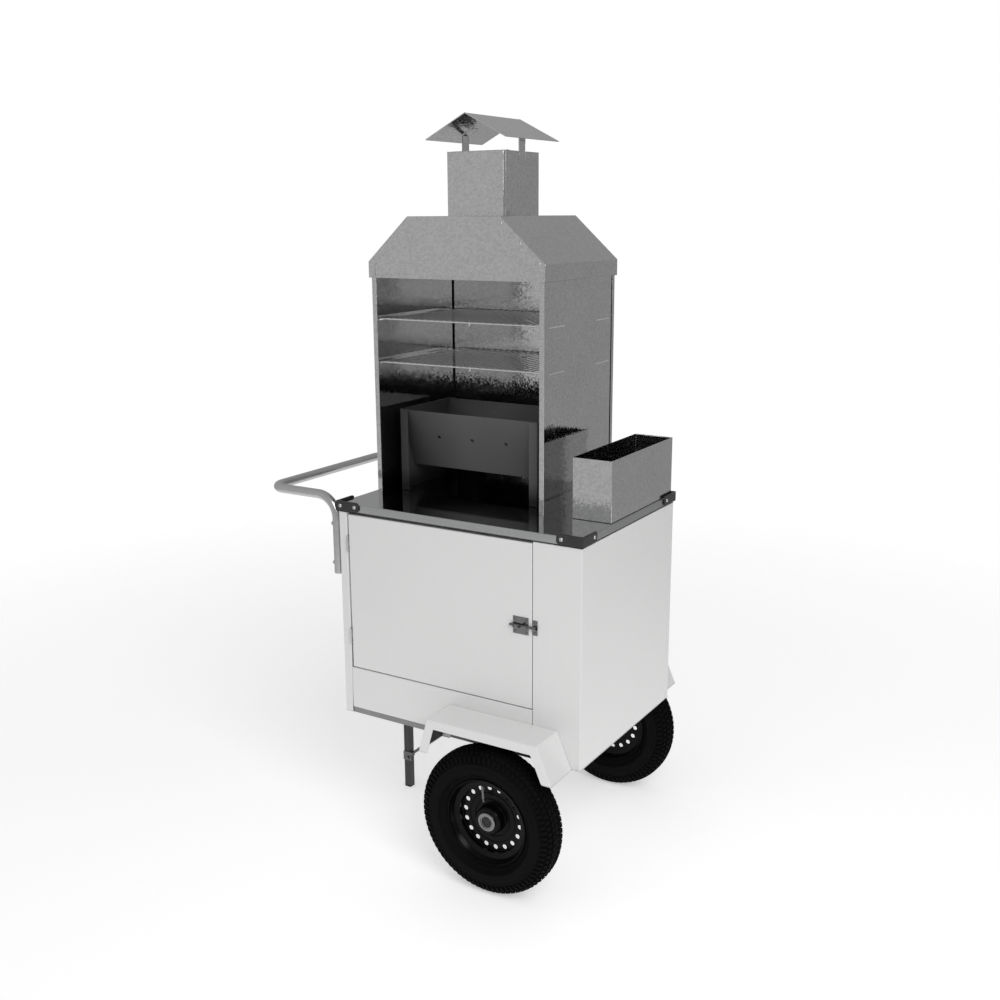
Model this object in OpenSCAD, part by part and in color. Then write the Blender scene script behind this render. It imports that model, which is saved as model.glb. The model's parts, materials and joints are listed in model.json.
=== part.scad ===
// Barbecue cart: a galvanised grill chamber with hood and chimney on a white sheet-metal
// cabinet, with two pneumatic wheels, one support leg and a bent tube push handle.
// Lengths are millimetres. X runs to the right along the front, Y to the back, Z up.

/* [Cabinet] */
// Width of the cabinet along the front
body_w = 700; // [660:10:760]
// Depth of the cabinet
body_d = 516; // [500:2:540]
// Height of the underside of the cabinet above the ground
body_bottom = 331; // [321:1:341]
// Height of the top edge of the cabinet panels
body_top = 878; // [870:1:878]
// Thickness of the painted sheet
sheet = 1.5; // [1:0.1:1.5]
// Side of the square frame tube
tube = 20; // [18:1:20]
// Wall of the square frame tube
tube_wall = 1.5; // [1.2:0.1:2]
// Width of the left panel's fold on the front
post_fold = 24; // [22:1:25]
// Width of the right panel's fold on the front
strip_fold = 128.5; // [120:0.5:129]
// Width of the back panel's fold on each side
back_fold = 18; // [14:1:22]
// Height of the lower front panel's bottom edge
lower_panel_bottom = 347; // [343:1:350]
// Height of the lower front panel's top edge
lower_panel_top = 458; // [450:1:459]

/* [Door] */
// Distance from the cabinet's left side to the door's left edge
door_left = 29; // [28.5:0.1:30]
// Distance from the cabinet's left side to the door's right edge
door_right = 569; // [560:1:569]
// Height of the door's bottom edge
door_bottom = 461; // [461:1:470]
// Height of the door's top edge
door_top = 873; // [865:1:874]
// Depth of the door's folded edges
door_depth = 15; // [12:1:18]
// Height of each hinge
hinge_h = 40; // [30:1:50]
// Heights of the centres of the two hinges
hinge_heights = [546, 796];
// Radius of the hinge knuckles
knuckle_r = 2.8; // [2.4:0.1:2.9]
// Radius of the hinge pins
pin_r = 1.5; // [1.2:0.1:1.6]
// Radial running clearance of the hinge pins, the latch bolt and the wheel hubs
running_gap = 0.05; // [0.02:0.01:0.09]

/* [Latch] */
// Height of the latch bolt
latch_z = 668; // [600:1:720]
// Radius of the latch bolt
bolt_r = 3.5; // [3:0.1:3.5]
// Width of the latch plate on the door
latch_w = 42; // [40:1:44]
// Height of the latch plate
latch_h = 43; // [38:1:46]

/* [Worktop] */
// Height of the work surface
top_z = 901; // [900:1:904]
// Height of the worktop's folded edge
top_edge = 20; // [18:1:20]
// Thickness of the stainless sheet
top_sheet = 1.5; // [1:0.1:1.5]
// Length of each leg of a corner guard
guard_leg = 66; // [55:1:75]
// Height of a corner guard
guard_h = 25; // [22:1:26]
// Thickness of a corner guard
guard_t = 4.5; // [3.5:0.5:4.5]

/* [Chamber] */
// Distance from the cabinet's left side to the chamber
chamber_left = 20; // [16:1:24]
// Width of the chamber
chamber_w = 500; // [480:2:510]
// Distance from the cabinet's front to the chamber
chamber_front = 142; // [136:1:142]
// Depth of the chamber
chamber_d = 369; // [360:1:370]
// Thickness of the galvanised sheet
zinc_sheet = 1.2; // [0.8:0.1:1.2]
// Width of the inward folds on the front of the side walls
wall_fold = 13; // [10:1:13]
// Height of the upper grate
upper_grate_z = 1356; // [1340:1:1370]
// Height of the lower grate
lower_grate_z = 1246; // [1230:1:1260]
// Length of each shelf tab
tab_l = 76; // [60:1:80]

/* [Hood] */
// Height of the bottom edge of the hood's lip
lip_bottom = 1459; // [1450:1:1465]
// Height of the top edge of the hood's lip
lip_top = 1499; // [1490:1:1505]
// Height of the hood's flat deck
deck_z = 1609; // [1600:1:1620]
// How far the hood stands proud of the chamber
lip_proud = 5.5; // [4:0.5:7]
// Width of the hood's flat deck
deck_w = 267; // [250:1:280]
// Width of the folds on the front and the back of the hood
hood_fold = 20; // [16:1:22]
// Width of the chimney
chimney_w = 163; // [150:1:170]
// Depth of the chimney
chimney_d = 173; // [160:1:180]
// Height of the top of the chimney
chimney_top = 1763; // [1750:1:1770]
// Width of the cap
cap_w = 231; // [220:1:240]
// Depth of the cap
cap_d = 259; // [240:1:270]
// Height of the cap's eaves
cap_eave = 1790.5; // [1785:0.5:1795]
// Height of the cap's ridge
cap_ridge = 1849; // [1840:1:1860]
// Width of the straps that carry the cap
strap_w = 31; // [24:1:36]
// Thickness of the straps
strap_t = 2; // [1.5:0.1:2.5]

/* [Firebox] */
// Distance from the cabinet's left side to the firebox
fire_left = 53; // [50:1:60]
// Width of the firebox
fire_w = 415; // [400:1:420]
// Distance from the cabinet's front to the firebox
fire_front = 202; // [198:1:206]
// Depth of the firebox
fire_d = 233; // [225:1:240]
// Height of the top edge of the firebox
fire_top = 1117; // [1105:1:1120]
// Height of the underside of the firebox's trough
trough_bottom = 960; // [950:1:970]
// Depth of the trough's floor
trough_floor = 121; // [110:1:130]
// Thickness of the black steel sheet
fire_sheet = 2; // [1.5:0.1:2.5]
// Width of the folds on the firebox's sides
fire_fold = 24; // [18:1:26]
// Radius of the air holes
air_hole_r = 5; // [4:0.5:6]
// Spacing of the air holes
air_hole_pitch = 102; // [90:1:110]

/* [Side bin] */
// Distance from the cabinet's left side to the bin
bin_left = 591; // [585:1:592]
// Distance from the cabinet's front to the bin
bin_front = 155; // [140:1:160]
// Width of the bin
bin_w = 105; // [95:1:106]
// Depth of the bin
bin_d = 353; // [340:1:354]
// Height of the bin
bin_h = 150; // [130:1:160]

/* [Wheels] */
// Outer radius of the tyres
tyre_r = 188; // [182:1:192]
// Half the width of a tyre
tyre_half = 42; // [38:1:44]
// Distance from the cabinet's left side to the axle
wheel_x = 498.5; // [490:0.5:505]
// Distance from the cabinet's face to the middle of the wheel
wheel_out = 73.5; // [70:0.5:80]
// Outer radius of the rim
rim_r = 110; // [106:1:112]
// Number of vent holes in the wheel disc
vent_count = 18; // [12:1:18]
// Radius of the circle of vent holes
vent_circle_r = 77; // [74:1:78]
// Radius of a vent hole
vent_r = 6; // [5:0.5:6.5]
// Radius of the axle
axle_r = 8; // [7:0.5:9]

/* [Fenders] */
// Height of the flat top of a fender
fender_z = 421.5; // [418:0.5:425]
// Width of a fender, out from the cabinet
fender_out = 103; // [98:1:110]
// Ends of the flat top, from the cabinet's left side
fender_flat = [333, 639];
// Ends of the sloped sheets, from the cabinet's left side
fender_ends = [307, 679];
// Height of the lower ends of the slopes
fender_low = 330; // [325:1:340]
// Depth of the fender's front lip
fender_lip = 24; // [20:1:25]

/* [Handle and leg] */
// Outer radius of the handle tube
handle_r = 12; // [10:0.5:13]
// Wall of the handle tube
handle_wall = 1.5; // [1.2:0.1:2]
// Distance from the cabinet's left side out to the grip
handle_reach = 237; // [225:1:245]
// Height of the handle's arms
handle_z = 912; // [905:1:915]
// Height of the lower ends of the handle
handle_low = 708; // [700:1:720]
// Radius of the bend from the arm down to the leg of the handle
bend_r = 58; // [50:1:64]
// Radius of the bend from the arm to the grip
grip_bend_r = 44; // [30:1:50]
// Distance of the handle's arms from the cabinet's front and back
handle_in = 13; // [12:1:20]
// Gap that the spacers hold between the cabinet's side and the handle's legs
handle_gap = 5; // [3:0.5:8]
// Heights of the handle's bolts
handle_bolt_heights = [734, 839];
// Distance from the cabinet's left side to the support leg
leg_left = 3; // [2:1:5]
// Height of the bolt through the support leg
leg_bolt_z = 93; // [85:1:110]
// Radius of the brace rod
brace_r = 4; // [3:0.5:5]

/* [Hidden] */
$fn = 48;
fine = 96;
// Space between pieces that move past each other
gap = 0.3;
screw_h = 2;
guard_bottom = top_z - 19;
handle_outer = handle_reach + handle_r;
handle_leg_x = -handle_gap - handle_r;
// The origin is under the middle of the whole object's box
origin_x = (body_w + guard_t + screw_h - handle_outer) / 2;
origin_y = body_d / 2;
leg_y = body_d / 2;
post_side = tube;
rail_top = body_bottom + tube;
frame_top = top_z - top_sheet;
strip_left = body_w - strip_fold;
hinge_x = (post_fold + door_left) / 2;
hinge_y = -2.2;
leaf_t = 1.2;
leaf_in = 14;
bolt_y = -(leaf_t + bolt_r + gap);
latch_left = door_right - 9 - latch_w;
guide_w = 4;
keeper_left = door_right + 3.5;
keeper_w = 12;
knob_x = latch_left + latch_w / 2 + 1.5;
bolt_tip = door_right + 3;
chamber_right = chamber_left + chamber_w;
chamber_back = chamber_front + chamber_d;
chamber_mid_x = chamber_left + chamber_w / 2;
chamber_mid_y = chamber_front + chamber_d / 2;
grate_rod_r = 2;
wire_r = 1.25;
wire_pitch = 19;
wire_margin = 24;
rod_in = wall_fold + 1.5;
back_hem = 12;
tab_w = 24;
hood_left = chamber_left - lip_proud;
hood_right = chamber_right + lip_proud;
hood_front_y = chamber_front - lip_proud;
hood_back_y = chamber_back + lip_proud;
fire_right = fire_left + fire_w;
fire_back = fire_front + fire_d;
fire_mid_y = fire_front + fire_d / 2;
fire_rest = top_z + gap;
axle_z = tyre_r;
disc_in = 4.5;
disc_t = 3;
rim_t = 2.5;
web_r = rim_r - 21 - rim_t;
rim_half = 26;
flare_half = 21.5;
seat_half = 9.5;
bead_half = 13;
vent_turn = 16;
hub_r = 23;
// Upright thickness of the cap's sloped sheet
cap_drop = 1.35;
// Radial clearance of a bolt or the axle in its hole
hole_gap = 0.05;
hub_outer = 19;
hub_inner = 28;
rivet_r = 2.4;
bracket_w = 50;
bracket_t = 5;

// ---- Helpers ----

// Moves from the cabinet's left front ground corner to the row's origin
module place() {
    translate([-origin_x, -origin_y, 0]) children();
}

// A block between two opposite corners
module block(low, high) {
    translate(low) cube(high - low);
}

// A second copy, mirrored about the cabinet's middle depth
module both_depths() {
    children();
    back_side() children();
}

module back_side() {
    translate([0, body_d, 0]) mirror([0, 1, 0]) children();
}

// A hollow square tube between two corners, open along one axis
module hollow_tube(low, high, axis) {
    wall = [for (i = [0:2]) i == axis ? -1 : tube_wall];
    difference() {
        block(low, high);
        block(low + wall, high - wall);
    }
}

// A flat ring of four square tubes between two heights
module tube_ring(z) {
    far_x = body_w - sheet;
    far_y = body_d - sheet;
    hollow_tube([sheet, sheet, z], [far_x, sheet + tube, z + tube], 0);
    hollow_tube([sheet, far_y - tube, z], [far_x, far_y, z + tube], 0);
    hollow_tube([sheet, sheet + tube, z], [sheet + tube, far_y - tube, z + tube], 1);
    hollow_tube([far_x - tube, sheet + tube, z], [far_x, far_y - tube, z + tube], 1);
}

// An outline in X and Z, extruded along Y from one depth to the other
module along_y(from, to) {
    translate([0, to, 0]) rotate([90, 0, 0]) linear_extrude(to - from) children();
}

// An outline in Y and Z, extruded along X from one side to the other
module along_x(from, to) {
    translate([from, 0, 0]) rotate([90, 0, 90]) linear_extrude(to - from) children();
}

// A round bar along Y
module bar_y(x, z, r, from, to) {
    translate([x, to, z]) rotate([90, 0, 0]) cylinder(h = to - from, r = r);
}

// A round bar along X
module bar_x(y, z, r, from, to) {
    translate([from, y, z]) rotate([0, 90, 0]) cylinder(h = to - from, r = r);
}

// A low domed head whose flat side lies on the origin, rising along Z
module dome_head(r, h) {
    sphere_r = (r * r + h * h) / (2 * h);
    intersection() {
        translate([0, 0, h - sphere_r]) sphere(r = sphere_r);
        cylinder(h = h, r = r);
    }
}

// ---- Frame ----

module bottom_frame() {
    color("dimgray") place() {
        tube_ring(body_bottom);
        hollow_tube([sheet + tube, leg_y - tube / 2, body_bottom],
                    [body_w - sheet - tube, leg_y + tube / 2, rail_top], 0);
    }
}

module frame_posts() {
    near = sheet;
    far_x = body_w - sheet - post_side;
    far_y = body_d - sheet - post_side;
    corners = [[near, near], [far_x, near], [near, far_y], [far_x, far_y], [strip_left, near]];
    color("dimgray") place() for (c = corners)
        hollow_tube([c.x, c.y, rail_top], [c.x + post_side, c.y + post_side, frame_top - tube], 2);
}

module top_frame() {
    color("dimgray") place() tube_ring(frame_top - tube);
}

module axle() {
    collar_from = -wheel_out + hub_inner + 0.5;
    color("gray") place() {
        bar_y(wheel_x, axle_z, axle_r, -wheel_out - hub_outer + 2, body_d + wheel_out + hub_outer - 2);
        both_depths() bar_y(wheel_x, axle_z, axle_r + 4, collar_from, collar_from + 6);
    }
}

module axle_brackets() {
    mid_y = sheet + tube / 2;
    color("dimgray") place() both_depths() difference() {
        along_y(mid_y - bracket_t / 2, mid_y + bracket_t / 2) union() {
            translate([wheel_x, axle_z]) circle(r = bracket_w / 2, $fn = fine);
            translate([wheel_x - bracket_w / 2, axle_z]) square([bracket_w, body_bottom - axle_z]);
        }
        bar_y(wheel_x, axle_z, axle_r + hole_gap, 0, 2 * mid_y);
    }
}

// ---- Leg ----

module support_leg() {
    low = [leg_left, leg_y - tube / 2, 3];
    color("dimgray") place() difference() {
        hollow_tube(low, low + [tube, tube, body_bottom - 3], 2);
        bar_y(leg_left + tube - 6, leg_bolt_z, 3 + hole_gap, 0, body_d);
    }
}

module leg_foot() {
    plug = tube_wall + 0.1;
    low = [leg_left, leg_y - tube / 2, 0];
    color("black") place() {
        block(low, low + [tube, tube, 3]);
        block(low + [plug, plug, 3], low + [tube - plug, tube - plug, 18]);
    }
}

module leg_brace() {
    start = [leg_left + tube + brace_r + 0.4, leg_bolt_z + 12];
    finish = [297, body_bottom];
    run = finish - start;
    slope = atan2(run.y, run.x);
    length = norm(run) - brace_r / tan(slope);
    plate_t = 3;
    color("gray") place() {
        translate([start.x, leg_y, start.y]) rotate([0, 90 - slope, 0]) cylinder(h = length, r = brace_r);
        translate([start.x, leg_y, start.y]) sphere(r = brace_r);
        difference() {
            block([leg_left - 1, leg_y - tube / 2 - plate_t, leg_bolt_z - 8],
                  [leg_left + tube + 5, leg_y - tube / 2, leg_bolt_z + 18]);
            bar_y(leg_left + tube - 6, leg_bolt_z, 3 + hole_gap, 0, body_d);
        }
        block([leg_left + tube, leg_y - tube / 2, leg_bolt_z + 6],
              [leg_left + tube + 5, leg_y, leg_bolt_z + 18]);
    }
}

module leg_bolt() {
    x = leg_left + tube - 6;
    front = leg_y - tube / 2 - 3;
    back = leg_y + tube / 2;
    color("silver") place() {
        bar_y(x, leg_bolt_z, 3, front, back + 5);
        translate([x, front, leg_bolt_z]) rotate([90, 0, 0]) cylinder(h = 4, r = 5.8, $fn = 6);
        translate([x, back + 5, leg_bolt_z]) rotate([90, 0, 0]) cylinder(h = 5, r = 5.8, $fn = 6);
    }
}

// ---- Cabinet panels ----

module left_panel() {
    side_end = body_d - back_fold - 1;
    return_x = post_fold - sheet;
    color("white") place() {
        translate([0, 0, body_bottom]) linear_extrude(body_top - body_bottom) polygon([
            [0, 0], [post_fold, 0], [post_fold, sheet], [sheet, sheet], [sheet, side_end],
            [0, side_end]
        ]);
        block([return_x, sheet, rail_top + 2 * sheet], [post_fold, 16, body_top]);
    }
}

module right_panel() {
    side_end = body_d - back_fold - 1;
    inner = body_w - sheet;
    color("white") place() translate([0, 0, body_bottom]) linear_extrude(body_top - body_bottom)
        polygon([
            [strip_left, 0], [body_w, 0], [body_w, side_end], [inner, side_end],
            [inner, sheet], [strip_left, sheet]
        ]);
}

module back_panel() {
    side_from = body_d - back_fold;
    inner = body_w - sheet;
    color("white") place() translate([0, 0, body_bottom]) linear_extrude(body_top - body_bottom)
        polygon([
            [0, side_from], [sheet, side_from], [sheet, body_d - sheet], [inner, body_d - sheet],
            [inner, side_from], [body_w, side_from], [body_w, body_d], [0, body_d]
        ]);
}

module lower_front_panel() {
    left = post_fold + 1;
    right = strip_left - 1.5;
    color("white") place() {
        block([left, 0, lower_panel_bottom], [right, sheet, lower_panel_top]);
        block([left, sheet, lower_panel_top - sheet], [right, 12, lower_panel_top]);
    }
}

module floor_panel() {
    in = sheet + tube + 0.5;
    notch = [strip_left - 0.5, strip_left + tube + 0.5];
    color("lightgray") place() translate([0, 0, rail_top]) linear_extrude(sheet)
        polygon([
            [in, sheet + 0.5], [notch[0], sheet + 0.5], [notch[0], in], [notch[1], in],
            [notch[1], sheet + 0.5], [body_w - in, sheet + 0.5],
            [body_w - in, body_d - sheet - 0.5], [in, body_d - sheet - 0.5]
        ]);
}

// ---- Door and latch ----

module door_panel() {
    wall = [sheet, sheet, sheet];
    low = [door_left, 0, door_bottom];
    high = [door_right, door_depth, door_top];
    color("white") place() difference() {
        block(low, high);
        block(low + wall, [high.x - sheet, high.y + 1, high.z - sheet]);
    }
}

// The stretches of a hinge that belong to the frame (two ends) or to the door (middle)
function knuckle_spans(of_door) =
    let (third = hinge_h / 3)
    of_door ? [[third + 0.2, 2 * third - 0.2]] : [[0, third - 0.2], [2 * third + 0.2, hinge_h]];

module hinge_leaves(of_door, plate_from, bore_r) {
    strip_from = of_door ? hinge_x + pin_r + 0.3 : plate_from;
    strip_to = of_door ? plate_from + leaf_t : hinge_x - pin_r - 0.3;
    color("silver") place() for (z = hinge_heights) translate([0, 0, z - hinge_h / 2]) difference() {
        union() {
            block([plate_from, 1, 0], [plate_from + leaf_t, leaf_in, hinge_h]);
            for (s = knuckle_spans(of_door)) {
                translate([hinge_x, hinge_y, s[0]]) cylinder(h = s[1] - s[0], r = knuckle_r);
                block([strip_from, hinge_y, s[0]], [strip_to, 1.5, s[1]]);
            }
        }
        translate([hinge_x, hinge_y, -1]) cylinder(h = hinge_h + 2, r = bore_r);
    }
}

module hinge_frame_leaves() {
    hinge_leaves(false, post_fold, pin_r);
}

module hinge_door_leaves() {
    hinge_leaves(true, door_left - leaf_t, pin_r + running_gap);
}

module hinge_pins() {
    color("gray") place() for (z = hinge_heights)
        translate([hinge_x, hinge_y, z - hinge_h / 2 - 1]) cylinder(h = hinge_h + 2, r = pin_r);
}

// A strap that bridges the latch bolt, with a bore for it
module bolt_bridge(x, w, bore_r) {
    outer_r = bolt_r + 1.4;
    difference() {
        union() {
            bar_x(bolt_y, latch_z, outer_r, x, x + w);
            block([x, bolt_y, latch_z - outer_r], [x + w, -leaf_t, latch_z + outer_r]);
        }
        bar_x(bolt_y, latch_z, bore_r, x - 1, x + w + 1);
    }
}

module latch_plate() {
    bore_r = bolt_r + running_gap;
    color("silver") place() {
        block([latch_left, -leaf_t, latch_z - latch_h / 2],
              [latch_left + latch_w, 0, latch_z + latch_h / 2]);
        bolt_bridge(latch_left + 0.5, guide_w, bore_r);
        bolt_bridge(latch_left + latch_w - guide_w - 0.5, guide_w, bore_r);
    }
}

module latch_bolt() {
    color("silver") place() {
        bar_x(bolt_y, latch_z, bolt_r, latch_left - 7, bolt_tip);
        bar_y(knob_x, latch_z, bolt_r - 0.5, bolt_y - 16, bolt_y);
    }
}

module latch_keeper() {
    color("silver") place() {
        block([keeper_left, -leaf_t, latch_z - latch_h / 2 + 3],
              [keeper_left + keeper_w, 0, latch_z + latch_h / 2 - 3]);
        bolt_bridge(keeper_left + 1, keeper_w - 2, bolt_r + 0.5);
    }
}

// ---- Worktop ----

module worktop() {
    color("lightsteelblue") place() difference() {
        block([0, 0, top_z - top_edge], [body_w, body_d, top_z]);
        block([top_sheet, top_sheet, top_z - top_edge - 1],
              [body_w - top_sheet, body_d - top_sheet, top_z - top_sheet]);
    }
}

// An upright plate with one rounded upper corner, from the cabinet's corner along X
module guard_arm(length) {
    round_r = 8;
    along_y(-guard_t, 0) difference() {
        translate([-guard_t, guard_bottom]) square([length + guard_t, guard_h]);
        for (s = [0, 1]) translate([length - round_r, guard_bottom + (s ? guard_h - round_r : round_r)])
            difference() {
                translate([0, s ? 0 : -round_r]) square([round_r + 1, round_r + 1]);
                circle(r = round_r);
            }
    }
}

// A corner guard for the front left corner of the worktop
module guard() {
    guard_arm(guard_leg);
    mirror([1, -1, 0]) guard_arm(guard_leg);
}

// Moves the front left corner's children to one of the four corners
module at_corner(right, back) {
    translate([right ? body_w : 0, back ? body_d : 0, 0])
        mirror([right ? 1 : 0, 0, 0]) mirror([0, back ? 1 : 0, 0]) children();
}

module guard_front_left() { color("black") place() at_corner(false, false) guard(); }
module guard_front_right() { color("black") place() at_corner(true, false) guard(); }
module guard_back_left() { color("black") place() at_corner(false, true) guard(); }
module guard_back_right() { color("black") place() at_corner(true, true) guard(); }

module guard_screws() {
    screw_at = guard_leg - 13;
    height = guard_bottom + guard_h / 2;
    color("silver") place() {
        for (right = [false, true], back = [false, true]) at_corner(right, back) {
            translate([screw_at, -guard_t, height]) rotate([90, 0, 0]) dome_head(4, screw_h);
            translate([-guard_t, screw_at, height]) rotate([0, -90, 0]) dome_head(4, screw_h);
        }
        translate([8, -guard_t, height]) rotate([90, 0, 0]) dome_head(4, screw_h);
    }
}

// ---- Handle ----

// One half of the handle's tube, from the lower end to the middle of the grip
module handle_half(r) {
    arm_from = handle_leg_x - bend_r;
    arm_to = -handle_reach + grip_bend_r;
    translate([handle_leg_x, handle_in, handle_low])
        cylinder(h = handle_z - bend_r - handle_low, r = r);
    translate([arm_from, handle_in, handle_z - bend_r]) rotate([90, 0, 0])
        rotate_extrude(angle = 90, $fn = fine) translate([bend_r, 0]) circle(r = r);
    bar_x(handle_in, handle_z, r, arm_to, arm_from);
    translate([arm_to, handle_in + grip_bend_r, handle_z]) rotate([0, 0, 180])
        rotate_extrude(angle = 90, $fn = fine) translate([grip_bend_r, 0]) circle(r = r);
    bar_y(-handle_reach, handle_z, r, handle_in + grip_bend_r, body_d / 2);
}

module push_handle() {
    color("silver") place() difference() {
        both_depths() handle_half(handle_r);
        both_depths() handle_half(handle_r - handle_wall);
        both_depths() for (z = handle_bolt_heights)
            bar_x(handle_in, z, 4 + hole_gap, handle_leg_x - handle_r - 1, 1);
        both_depths() translate([handle_leg_x, handle_in, handle_low - 1])
            cylinder(h = 2, r = handle_r - handle_wall);
    }
}

module handle_bolts() {
    color("silver") place() both_depths() for (z = handle_bolt_heights) {
        bar_x(handle_in, z, 4, handle_leg_x - handle_r, 0);
        bar_x(handle_in, z, 7, 0.3 - handle_gap, 0);
        translate([handle_leg_x - handle_r, handle_in, z]) rotate([0, -90, 0])
            cylinder(h = 4, r = 6.5, $fn = 6);
    }
}

// ---- Grill chamber ----

// Places the shelf tabs' children at both depths and both heights of a side wall
module at_tabs() {
    for (y = [chamber_front + 25, chamber_back - 25 - tab_l])
        for (z = [upper_grate_z, lower_grate_z])
            translate([0, y, z - grate_rod_r]) children();
}

module chamber_left_wall() {
    wall_top = lip_top - 2;
    back = chamber_back - zinc_sheet;
    inner = chamber_left + zinc_sheet;
    color("silver") place() {
        difference() {
            union() {
                block([chamber_left, chamber_front, top_z], [inner, back, wall_top]);
                block([chamber_left, chamber_front, top_z],
                      [chamber_left + wall_fold, chamber_front + zinc_sheet, wall_top]);
                block([hood_left + zinc_sheet + 0.2, chamber_front, wall_top - zinc_sheet],
                      [chamber_left, back - back_hem - gap, wall_top]);
            }
            at_tabs() block([chamber_left - 1, 0, -4], [inner + 1, tab_l, -zinc_sheet - gap]);
        }
        at_tabs() block([inner, 0, -zinc_sheet - gap], [chamber_left + tab_w, tab_l, -gap]);
    }
}

module chamber_right_wall() {
    color("silver") translate([2 * (chamber_mid_x - origin_x), 0, 0]) mirror([1, 0, 0]) chamber_left_wall();
}

module chamber_back_wall() {
    out = zinc_sheet + 0.2;
    inner_y = chamber_back - zinc_sheet;
    color("silver") place() translate([0, 0, top_z]) linear_extrude(lip_top - 2 - top_z) polygon([
        [chamber_left - out, inner_y - back_hem], [chamber_left - 0.2, inner_y - back_hem],
        [chamber_left - 0.2, inner_y], [chamber_right + 0.2, inner_y],
        [chamber_right + 0.2, inner_y - back_hem], [chamber_right + out, inner_y - back_hem],
        [chamber_right + out, chamber_back], [chamber_left - out, chamber_back]
    ]);
}

// ---- Hood, chimney and cap ----

// The hood's outline seen from the front, moved in from the outside by a distance
module hood_outline(in) {
    half_lip = chamber_w / 2 + lip_proud - in;
    tilt = atan2(deck_z - lip_top, chamber_w / 2 + lip_proud - deck_w / 2);
    inner_deck = deck_w / 2 - in * tan(tilt / 2);
    inner_shoulder = lip_top - in * tan(45 - tilt / 2);
    translate([chamber_mid_x, 0]) polygon([
        [-half_lip, lip_bottom - in], [half_lip, lip_bottom - in], [half_lip, inner_shoulder],
        [inner_deck, deck_z - in], [-inner_deck, deck_z - in], [-half_lip, inner_shoulder]
    ]);
}

// The hood's closed outline for a front or back sheet, which stops at the lip
module hood_face() {
    intersection() {
        hood_outline(zinc_sheet);
        translate([hood_left, lip_bottom]) square([hood_right - hood_left, deck_z - lip_bottom]);
    }
}

// The ring between two of the hood's outlines, open at the bottom
module hood_ring(width) {
    difference() {
        hood_outline(0);
        hood_outline(width);
    }
}

module hood_shell() {
    hole = [chimney_w / 2 + 0.2, chimney_d / 2 + 0.2];
    color("silver") place() difference() {
        union() {
            along_y(hood_front_y, hood_back_y) hood_ring(zinc_sheet);
            along_y(hood_front_y, hood_front_y + zinc_sheet) hood_ring(hood_fold);
            along_y(hood_back_y - zinc_sheet, hood_back_y) hood_ring(hood_fold);
        }
        block([chamber_mid_x - hole.x, chamber_mid_y - hole.y, deck_z - 5],
              [chamber_mid_x + hole.x, chamber_mid_y + hole.y, deck_z + 5]);
    }
}

module hood_front() {
    y = hood_front_y + zinc_sheet;
    color("silver") place() along_y(y, y + zinc_sheet) hood_face();
}

module hood_back() {
    y = hood_back_y - 2 * zinc_sheet;
    color("silver") place() along_y(y, y + zinc_sheet) hood_face();
}

// A square tube about the chimney's axis
module chimney_tube(low, high, grow, inside) {
    outer = [chimney_w / 2 + grow, chimney_d / 2 + grow];
    inner = [chimney_w / 2 - inside, chimney_d / 2 - inside];
    translate([chamber_mid_x, chamber_mid_y, 0]) difference() {
        block([-outer.x, -outer.y, low], [outer.x, outer.y, high]);
        block([-inner.x, -inner.y, low - 1], [inner.x, inner.y, high + 1]);
    }
}

module chimney() {
    under_deck = deck_z - zinc_sheet;
    color("silver") place() {
        chimney_tube(under_deck - zinc_sheet, chimney_top, 0, zinc_sheet);
        chimney_tube(under_deck - zinc_sheet, under_deck, 14, zinc_sheet);
    }
}

// A rivet head on the hood's slope fold, a share of the way up from the shoulder
module slope_rivets() {
    shoulder = [hood_right, lip_top];
    deck = [chamber_mid_x + deck_w / 2, deck_z];
    tilt = atan2(deck.y - shoulder.y, shoulder.x - deck.x);
    in = hood_fold / 2;
    for (share = [0.08, 0.5, 0.92]) {
        p = shoulder + share * (deck - shoulder) - in * [sin(tilt), cos(tilt)];
        translate([p.x, hood_front_y, p.y]) rotate([90, 0, 0]) dome_head(rivet_r, 1);
        translate([2 * chamber_mid_x - p.x, hood_front_y, p.y]) rotate([90, 0, 0]) dome_head(rivet_r, 1);
    }
}

module rivets() {
    side_x = chamber_mid_x + chimney_w / 2;
    seam_y = chamber_mid_y - chimney_d / 2 + 12;
    color("gainsboro") place() {
        slope_rivets();
        translate([0, 2 * chamber_mid_y, 0]) mirror([0, 1, 0]) slope_rivets();
        for (z = [deck_z + 16, (deck_z + chimney_top) / 2, chimney_top - 9])
            translate([side_x, seam_y, z]) rotate([0, 90, 0]) dome_head(rivet_r, 1);
        for (side = [-1, 1])
            translate([chamber_mid_x + side * (chimney_w / 2 + strap_t), chamber_mid_y, chimney_top - 9])
                rotate([0, side * 90, 0]) dome_head(rivet_r, 1);
    }
}

module cap_roof() {
    half = cap_w / 2;
    color("silver") place() along_y(chamber_mid_y - cap_d / 2, chamber_mid_y + cap_d / 2)
        translate([chamber_mid_x, 0]) polygon([
            [-half, cap_eave], [0, cap_ridge], [half, cap_eave],
            [half, cap_eave - cap_drop], [0, cap_ridge - cap_drop], [-half, cap_eave - cap_drop]
        ]);
}

module cap_straps() {
    out = chimney_w / 2;
    slope = (cap_ridge - cap_eave) / (cap_w / 2);
    // Height of the roof's underside over a distance from the ridge
    function under(x) = cap_ridge - cap_drop - 0.05 - slope * x;
    low = chimney_top - 22;
    color("silver") place() for (side = [0, 1]) translate([chamber_mid_x, 0, 0]) mirror([side, 0, 0])
        along_y(chamber_mid_y - strap_w / 2, chamber_mid_y + strap_w / 2) polygon([
            [out, low], [out + strap_t, low], [out + strap_t, under(out + strap_t)],
            [out - 30, under(out - 30)], [out - 30, under(out - 30) - strap_t],
            [out, under(out) - strap_t]
        ]);
}

// ---- Firebox ----

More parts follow.
